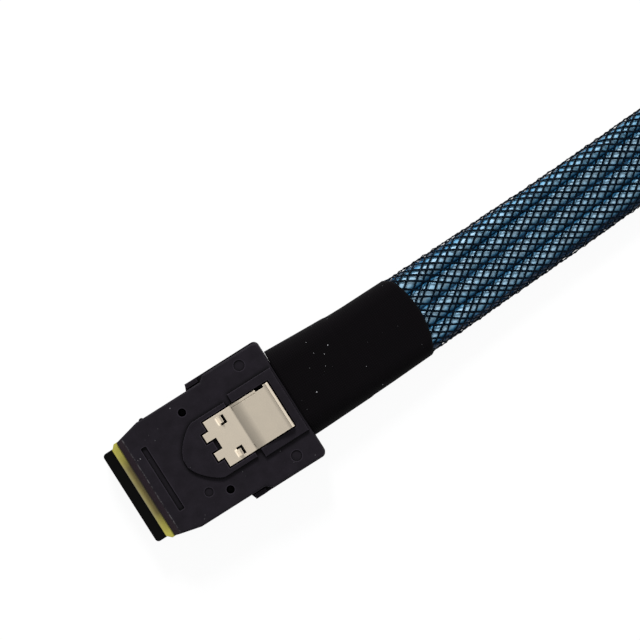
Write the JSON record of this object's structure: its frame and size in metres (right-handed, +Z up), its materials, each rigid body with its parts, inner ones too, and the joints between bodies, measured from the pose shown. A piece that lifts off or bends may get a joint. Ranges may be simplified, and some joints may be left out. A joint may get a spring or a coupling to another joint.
{
  "type": "mini sas breakout cable",
  "caption": "Internal data cable: a wide card-edge plug with a press latch, a taped and braided flat trunk, and flat legs that end in keyed drive plugs, stored as a strapped loop.",
  "frame": {"origin": "on the resting surface under the middle of the wide plug", "axes": "+X from the wide plug's nose towards its cable, +Y to the plug's left seen from above, +Z up, out of the latch side"},
  "size_m": [0.2472, 0.1407, 0.0193],
  "materials": {
    "shell": "fine moulded texture",
    "nose": "smooth",
    "plate": "smooth moulded",
    "card": "lacquered, with gold-plated pads",
    "mould": "as moulded",
    "latch": "bare stamped sheet",
    "tape": "fine cloth weave",
    "sleeve": "open black braid over blue cables",
    "leg": "extruded",
    "band": "shrunk tube",
    "strap": "hook-and-loop",
    "grip": "moulded over the cable",
    "insulator": "as moulded"
  },
  "bodies": {
    "plug": {"upper_shell": "shell", "lower_shell": "shell", "nose_shroud": "nose", "insulator_plate": "plate", "paddle_card": "card", "wire_mould": "mould", "trunk_sleeve": "sleeve", "tape_wrap": "tape", "breakout_band": "band", "leg_cable_1": "leg", "leg_cable_2": "leg", "leg_cable_3": "leg", "leg_cable_4": "leg", "drive_plug_1_grip": "grip", "drive_plug_2_grip": "grip", "drive_plug_3_grip": "grip", "drive_plug_4_grip": "grip", "drive_plug_1_insulator": "insulator", "drive_plug_2_insulator": "insulator", "drive_plug_3_insulator": "insulator", "drive_plug_4_insulator": "insulator", "closing_strap": "strap"},
    "latch": {"release_latch": "latch"}
  },
  "joints": [
    {"name": "latch_press", "type": "hinge", "parent": "plug", "child": "latch", "pos_m": [0.00085, 0, 0.0095], "axis": [0, 1, 0], "range_deg": [0, 4], "stiffness_Nm_per_rad": 0.2}
  ]
}
